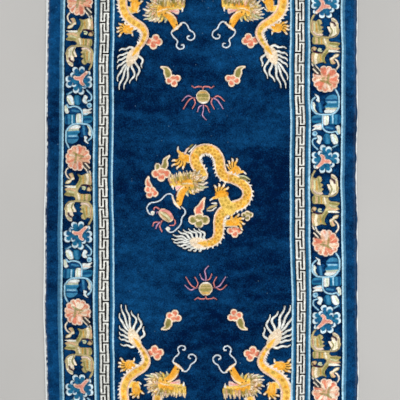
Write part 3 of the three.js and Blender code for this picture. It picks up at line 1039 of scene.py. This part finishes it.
def lotus(spot):
    """A blue flower: teal petals with scalloped pale edges round a three-armed coral heart."""
    petals = ((110, 10.4, 2.8), (73, 10.6, 2.8), (34, 12.0, 2.0), (5, 10.8, 2.8), (-23, 11.6, 2.9),
              (-50, 8.4, 2.2), (-77, 11.8, 2.8), (-106, 10.2, 3.0), (-135, 6.6, 2.0), (-156, 10.8, 3.0),
              (175, 10.6, 2.8), (142, 8.0, 2.2))
    clip_with_painted_shade(union(*(discs(spot, [polar(reach, turn)], size) for turn, reach, size in petals)), 1.0)
    knot(discs(spot, [(0.5, 0)], 8.6), "teal")
    for turn, reach, size in petals:
        knot(discs(spot, [polar(reach, turn)], size + 0.5), "night", 0, 0.7)
    for turn, reach, size in petals:
        knot(discs(spot, [polar(reach, turn)], size), "frost")
        knot(discs(spot, [polar(reach - 1.5, turn - 4)], size - 0.5), pick("teal", "azure"))
    knot(discs(spot, [polar(6.2, turn) for turn in (90, 20, -35, -92, -140, 160)], 1.2), "indigo", 0, 0.8)
    for _ in range(18):
        fleck = polar(draw.uniform(3.0, 10.0), draw.uniform(0, 360))
        fleck_yarn = pick("indigo", "azure", "night", "lake")
        knot(discs(spot, [fleck], draw.uniform(0.8, 1.5)), fleck_yarn, 0, 0.55)
    arms = union(*(band(spot, [(2.4, 1.4), polar(reach * 0.6, turn), polar(reach, turn)], 1.9, 1.4, 1.1)
                   for turn, reach in ((42, 11), (148, 5), (-45, 6))))
    knot(arms, "night", 0.9, 0.6)
    knot(arms, "blush", 0.3)
    knot(arms, "coral", -0.3, 0.75)
    knot(discs(spot, [polar(11, 42), polar(5.4, 148)], 0.8), "cream")


def stem(spot, points, yarn, half_width=0.6):
    """A thin stalk with a dark line along it."""
    line = band(spot, points, half_width)
    knot(line, "night", 0.6, 0.5)
    knot(line, yarn)


def leaf(spot, points, yarn, *veins):
    """A broad split leaf with veins inside it, each given as a yarn, a half width and its points."""
    where, edge = patch(spot, points)
    knot((where, edge), "night", 0.9, 0.6)
    knot((where, edge), yarn)
    for vein_yarn, half_width, vein in veins:
        line, half = stroke(spot, vein, (half_width,))
        knot((where, np.maximum(gap_to(line, half, where), edge)), vein_yarn, 0, 0.9)


def olive_scroll(spot):
    """Leaves in tan, olive and peach that run from a peony to the next lotus."""
    stem(spot, [(-9.5, -9.5), (-12, -13.5), (-11, -18), (-8, -21)], "cream")
    stem(spot, [(6, -7), (9, -10), (12, -14), (12.8, -20)], "cream")
    stem(spot, [(5, -9), (8.5, -12), (10.5, -16)], "ivory", 0.5)
    leaf(spot, [(-9, -16.5), (-5.5, -15.5), (-3.8, -19), (-3.5, -21.5), (-6, -22.5), (-8, -25.5),
                (-12, -26), (-11, -23), (-8.5, -22), (-7, -19.5)], "tan",
         ("cream", 0.9, [(-10.5, -24.8), (-7, -23), (-4.5, -20.5)]),
         ("peach", 0.8, [(-7.5, -16.5), (-6, -19.5)]))
    leaf(spot, [(0, -16.5), (4, -17.5), (10, -15.5), (13, -18), (13.6, -25), (12.5, -27.5), (8, -26.5),
                (4, -27), (1.5, -30), (0, -33), (2, -36), (8, -36.5), (12.3, -37), (12, -43.5),
                (5, -44.5), (-2, -43.5), (-2.5, -40.5), (-5, -38.5), (-9.5, -38.3), (-13.2, -37),
                (-11, -34), (-12.8, -31.5), (-10, -30), (-12.8, -28.3), (-6, -28), (-2.5, -28),
                (0.5, -24), (1.5, -20)], "tan",
         ("olive", 1.0, [(1, -17.5), (3, -21), (1, -26), (-1, -29)]),
         ("cream", 1.2, [(9, -16.5), (10, -21), (9, -26)]), ("peach", 0.7, [(12.5, -19), (12.8, -25)]),
         ("brass", 0.6, [(5, -19), (5.5, -25)]), ("ivory", 0.9, [(-12.5, -28.8), (-7, -29), (-3, -29)]),
         ("peach", 0.7, [(-11, -31), (-6, -31.5), (-3, -33)]),
         ("olive", 0.9, [(-12.5, -36), (-8, -36.5), (-4, -37)]),
         ("celadon", 0.5, [(-9, -33.5), (-4, -35)]), ("cream", 0.8, [(0, -36.5), (1, -40), (1.3, -44)]),
         ("brass", 0.6, [(4, -37), (4, -44)]), ("olive", 0.7, [(6.5, -37), (6.5, -44)]),
         ("peach", 0.5, [(8.5, -37), (8.5, -44)]), ("olive", 0.8, [(11.5, -37.5), (11, -43)]))
    leaf(spot, [(13, -28.5), (13.8, -31), (12, -33.5), (9, -32.5), (10, -30)], "tan",
         ("peach", 0.7, [(12, -29.5), (11, -32.5)]))
    stem(spot, [(4.5, -29), (7, -29.6), (6.4, -31.4), (5, -31)], "celadon", 0.7)
    stem(spot, [(4, -27.4), (8, -27.2), (11, -28.5), (12.8, -30.5)], "maroon", 0.5)
    leaf(spot, [(-12, -50), (-10, -46.5), (-6, -44.3), (-2.8, -44), (-4.3, -47.5), (-3, -51),
                (-1.8, -54.3), (-5, -54.5), (-4.5, -58), (-6, -60.5), (-6, -64), (-10, -62),
                (-12.3, -57)], "cream", ("olive", 0.8, [(-4.5, -45.5), (-6.3, -50), (-5, -53.5)]),
         ("tan", 0.9, [(-11, -49), (-11.3, -57)]), ("celadon", 0.7, [(-8.3, -47), (-8.5, -53)]),
         ("tan", 0.8, [(-10, -60), (-7, -62)]))
    stem(spot, [(-9.2, -55.8), (-8.6, -58), (-6.4, -59.5)], "maroon", 0.8)
    leaf(spot, [(2.5, -46), (5, -44.8), (9, -45), (12.8, -48), (13.6, -54), (12.8, -60.5), (9, -60),
                (6.5, -62), (4, -61), (3.2, -58), (5, -56), (2.2, -54), (4, -51.5), (1.8, -50),
                (3.5, -48)], "tan", ("blush", 1.2, [(3, -46), (8, -45.8), (11.5, -48.5)]),
         ("olive", 0.8, [(5, -51), (6, -57), (7, -60.5)]), ("brass", 0.6, [(8, -49.5), (8.5, -57)]),
         ("celadon", 0.6, [(10.5, -50), (10.5, -58)]), ("peach", 0.6, [(12.6, -50), (12.6, -60)]))
    stem(spot, [(-3, -43.4), (-8, -44), (-11.5, -47), (-12.8, -52)], "tan", 0.45)
    stem(spot, [(-3, -43.4), (4, -43.8), (10, -45), (13.6, -50), (13.9, -57), (12.6, -63), (10.5, -67)],
         "tan", 0.8)


def blue_scroll(spot):
    """Leaves in blue, white and celadon that run from a lotus to the next peony."""
    stem(spot, [(-4, -9), (-8, -12), (-12, -14)], "lake")
    stem(spot, [(-4, -10.5), (-9, -13), (-11, -15)], "sky", 0.5)
    stem(spot, [(8, -10), (12, -14), (13, -17), (12, -20), (8, -21)], "sky")
    leaf(spot, [(-11.5, -16), (-8, -15), (-5, -19), (-4.5, -24), (-9, -24), (-11.5, -20)], "bone",
         ("celadon", 0.8, [(-11, -18), (-8, -23)]), ("ice", 0.8, [(-8, -17), (-6, -22)]))
    leaf(spot, [(-4, -15.5), (1, -16), (2.5, -21), (0, -25), (-4, -23)], "teal",
         ("lake", 1.2, [(-2, -17), (-1, -23)]), ("indigo", 0.8, [(1, -17), (1.5, -22)]))
    leaf(spot, [(6, -15), (9, -17), (7.5, -20), (9, -23), (6, -23), (3.8, -20.5), (5, -17)], "bone",
         ("frost", 0.6, [(6, -17), (5.5, -22)]))
    knot(discs(spot, [(10.8, -25)], 3.1), "night", 0, 0.6)
    knot(discs(spot, [(10.8, -25)], 2.4), "sky")
    knot(discs(spot, [(10.4, -25.4)], 1.1), "lake")
    leaf(spot, [(-13.5, -25), (-11, -26), (-10.5, -29.5), (-9, -31), (-11.5, -33), (-13.5, -31)], "bone",
         ("celadon", 0.6, [(-12.5, -26), (-12, -31)]))
    leaf(spot, [(-9, -28.5), (-4, -27.5), (1, -29), (2.2, -34), (-4, -34.5), (-8, -33)], "indigo",
         ("lake", 0.9, [(-6, -30), (0, -31)]))
    leaf(spot, [(4.5, -29), (9, -29), (13.5, -28), (11, -31), (13, -32), (9, -34), (5, -35)], "bone",
         ("blush", 0.6, [(5, -32), (11, -31.5)]), ("sky", 0.7, [(5, -34.4), (9, -33.7)]))
    leaf(spot, [(4.5, -36), (9, -35.5), (13.5, -36), (13.5, -41), (9, -43), (4.5, -42)], "teal",
         ("indigo", 1.2, [(6, -39), (12, -38.5)]), ("lake", 0.9, [(6, -41.5), (12, -41)]))
    leaf(spot, [(-13.5, -35), (-8, -34), (-2.5, -35), (-2.5, -43), (-8, -43.5), (-13.5, -43)], "teal",
         ("indigo", 1.2, [(-12, -35), (-12, -43)]), ("lake", 1.0, [(-9.5, -35), (-9.5, -43)]),
         ("sky", 0.8, [(-6.4, -35.5), (-6.4, -42.5)]), ("indigo", 0.6, [(-3, -35), (-3, -43)]))
    leaf(spot, [(-2, -34.5), (2.6, -34), (3, -42.5), (-2, -43)], "bone",
         ("celadon", 0.7, [(-0.6, -34), (-0.6, -43)]), ("blush", 0.4, [(2.3, -35), (2.4, -42)]))
    stem(spot, [(-11.5, -24.5), (-9.5, -27), (-5, -26), (0.5, -27.5), (3.5, -32), (3.6, -42.5)], "sky",
         0.65)
    leaf(spot, [(-11, -50), (-8, -46), (-2, -44.5), (2, -46), (0, -48.5), (1.5, -51), (-1, -54),
                (0.5, -58), (-4, -62.5), (-10, -62), (-11.5, -56)], "lake",
         ("bone", 1.7, [(-11, -46.6), (2, -46.2)]), ("blush", 0.4, [(-9, -48.3), (0, -48)]),
         ("celadon", 0.7, [(-12, -49.7), (1, -49.2)]), ("teal", 1.1, [(-12, -53), (1, -52.6)]),
         ("sky", 0.6, [(-9.5, -55.6), (-2, -55.6)]), ("indigo", 0.8, [(-12, -57.6), (0, -57.6)]),
         ("lake", 1.0, [(-11, -60), (-3, -60)]))
    leaf(spot, [(2.5, -44.8), (6, -45), (8.5, -49), (9.5, -54), (5, -57), (1.5, -55.5), (3, -52.5),
                (1.5, -50), (3.5, -48)], "indigo", ("lake", 1.1, [(5, -46), (6, -54)]))
    leaf(spot, [(8.5, -45), (11.5, -47), (13, -51), (12, -55.5), (10, -53), (10.5, -49)], "bone",
         ("celadon", 0.5, [(9.5, -46), (11, -53)]))
    leaf(spot, [(6, -55.5), (9, -57), (8, -59.5), (10, -63), (6.5, -61), (6, -58.5)], "bone",
         ("frost", 0.5, [(7, -57), (8.5, -61)]))
    stem(spot, [(-9, -68), (-12, -62), (-12.6, -56), (-12, -50), (-8, -45), (-3.4, -43.4), (5, -43.4),
                (10.5, -45), (13.6, -50), (13, -56.5), (10, -60)], "sky", 0.7)


stripe(KEY_EDGE, INNER_DARK, "night")
stripe(OUTER_DARK, FLOWER_EDGE, "night")
flower_stops = [(-BAND_X, y) for y in LEFT_STOPS]
flower_stops += [(-x, -BAND_Y) for x in END_STOPS]
flower_stops += [(BAND_X, y) for y in RIGHT_STOPS]
flower_stops += [(x, BAND_Y) for x in END_STOPS]
flower_spots = []
for k, (x, y) in enumerate(flower_stops):
    next_x, next_y = flower_stops[(k + 1) % len(flower_stops)]
    turn = math.degrees(math.atan2(next_y - y, next_x - x)) + 90
    stretch = math.hypot(next_x - x, next_y - y) / FLOWER_REPEAT
    scroll = olive_scroll if k % 2 else blue_scroll
    scroll(Spot(x, y, turn, size=BAND_FILL, stretch=stretch / BAND_FILL))
    flower_spots.append(Spot(x, y, turn, size=BAND_FILL))
for k, spot in enumerate(flower_spots):
    flower = peony if k % 2 else lotus
    flower(spot)
# The knots are darker towards the left long side and lighter towards the right one.
tone_scale = (1 + SIDE_TONE_SLOPE * across / HALF_PILE)[..., None]
in_flowers = (frame_line >= KEY_EDGE) & (frame_line < FLOWER_EDGE)
flower_border = pile_piece("flower_border", in_flowers, tone_scale * COOL_WASH)

# Outer band. A light and a middle blue guard stripe, then plain blue out to the edges, where the pile rounds
# down. Its blue is a little lighter than the field's and rubbed pale at the long edges, and the white
# stitches of the left edge reach over its first knots.
OUTER_SKY, OUTER_STEEL = 407.4, 414.9
stripe(FLOWER_EDGE, OUTER_SKY, "sky")
stripe(OUTER_SKY, OUTER_STEEL, "steel")
stray_fibres(count=50, inner=OUTER_STEEL, outer=RUG_WIDTH)
EDGE_REACH = 12.0
LEFT_WEAR, RIGHT_WEAR, WEAR_SPREAD = 0.035, 0.045, 0.35
STITCH_REACH, STITCH_SHARE, STITCH_SPREAD = 2.3, 0.45, 0.35
IVORY_COTTON = dyed(250, 254, 255)
off_left, off_right = HALF_PILE + across, HALF_PILE - across
left_wear = LEFT_WEAR * np.clip(1 - off_left / EDGE_REACH, 0, 1) ** 2
right_wear = RIGHT_WEAR * np.clip(1 - off_right / EDGE_REACH, 0, 1) ** 2
wear = np.clip((left_wear + right_wear) * (1 + WEAR_SPREAD * uneven(0, 30)), 0, 1)[..., None]
dye += (YARN["frost"] - dye) * wear
stitches = np.clip(STITCH_SHARE + STITCH_SPREAD * uneven(0, 4), 0, 1)
dye += (IVORY_COTTON - dye) * np.where(off_left < STITCH_REACH, stitches, 0)[..., None]
outer_band = pile_piece("outer_band", frame_line >= FLOWER_EDGE, tone_scale)

# Foundation. The cotton base cloth that the knots are tied on, woven in one with them. Its back shows the
# pattern in the backs of the knots, paler and ribbed, and its ends are plain turned hems.
BACK_STEP = 2
COTTON = dyed(214, 206, 188)
BACK_COTTON_SHARE = 0.22

back_places = np.dstack((rug_x, rug_y, 0 * rug_x))[::BACK_STEP, ::BACK_STEP]
bm, number = numbered_grid(COLUMNS // BACK_STEP, ROWS // BACK_STEP, back_places)
bmesh.ops.contextual_create(bm, geom=walls(bm, number, FOUNDATION_HEIGHT))
bmesh.ops.recalc_face_normals(bm, faces=bm.faces)
knotted_back = yarn_material("knotted_back", grain=370.0, bump=0.6, sheen=0.0)
foundation = add_piece("foundation", bm, knotted_back)
dye_faces(foundation, (dye + (COTTON - dye) * BACK_COTTON_SHARE)[::BACK_STEP, ::BACK_STEP])
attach(foundation, "root")
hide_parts("rug_body")

# Side cords. The two long edges are overcast with thick white cotton yarn into round cords, each turn lying
# close to the next. Blue fibres have felted over much of the right one. They lie flat beside the pile.
CORD_RADIUS = SIDE_CORD_WIDTH / 2
CORD_MIDDLE_HEIGHT = 2.6
TURN_PITCH = 2.4
STEPS_PER_TURN = 4
CORD_SIDES = 10
TURN_DEPTH = 0.28
TURN_SLANT = 1.0
# How much darker the painted shade in the grooves between the cord's turns is.
PAINTED_GROOVE_SHADE = 0.12
FELTED_WOOL = dyed(26, 74, 118)
FELT_SPREAD, FELT_EDGE = 0.16, 0.3

overcast_cotton = yarn_material("overcast_cotton", grain=900.0, bump=0.5, sheen=0.1)


def side_cord(name, stands_for, side, outward, bare):
    """One overcast edge, rolled up from a flat strip. Bare is the share of its width that shows cotton."""
    steps = round(RUG_LENGTH / TURN_PITCH * STEPS_PER_TURN)
    length = np.linspace(-HALF_LENGTH, HALF_LENGTH, steps + 1)
    angle = np.linspace(0, 2 * math.pi, CORD_SIDES + 1)[:, None]
    turns = 2 * math.pi * length / TURN_PITCH + TURN_SLANT * angle
    radius = CORD_RADIUS - TURN_DEPTH * (0.5 - 0.5 * np.cos(turns))
    x = outward * (RUG_WIDTH / 2 - CORD_RADIUS - eased(EDGE_ROWS, length, side)) + radius * np.cos(angle)
    z = np.maximum(0, CORD_MIDDLE_HEIGHT + radius * np.sin(angle))
    bm, number = numbered_grid(steps, CORD_SIDES, np.dstack((x, np.broadcast_to(length, x.shape), z)))
    bmesh.ops.remove_doubles(bm, verts=bm.verts, dist=0.01 * MM)
    bmesh.ops.holes_fill(bm, edges=[e for e in bm.edges if e.is_boundary], sides=0)
    bmesh.ops.recalc_face_normals(bm, faces=bm.faces)
    cord = add_piece(name, bm, overcast_cotton)
    # Painted shade: each face of the cord is darker in the groove between one turn of cotton and the next.
    groove = 1 - PAINTED_GROOVE_SHADE + PAINTED_GROOVE_SHADE * (0.5 + 0.5 * np.cos(turns[:-1, :-1]))
    out = 0.5 + 0.5 * outward * np.cos((angle[1:] + angle[:-1]) / 2)
    patchy = np.interp(length[:-1], knot_y, uneven(0, 14)[:, 0])
    felted = np.clip(0.5 + (1 - bare + FELT_SPREAD * patchy - out) / FELT_EDGE, 0, 1)[..., None]
    dye_faces(cord, (IVORY_COTTON + (FELTED_WOOL - IVORY_COTTON) * felted) * groove[..., None])
    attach(cord, "root")
    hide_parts(stands_for)
    return cord


left_cord = side_cord("left_cord", "side_cord_left", LEFT, outward=-1, bare=1.1)
right_cord = side_cord("right_cord", "side_cord_right", RIGHT, outward=1, bare=0.5)
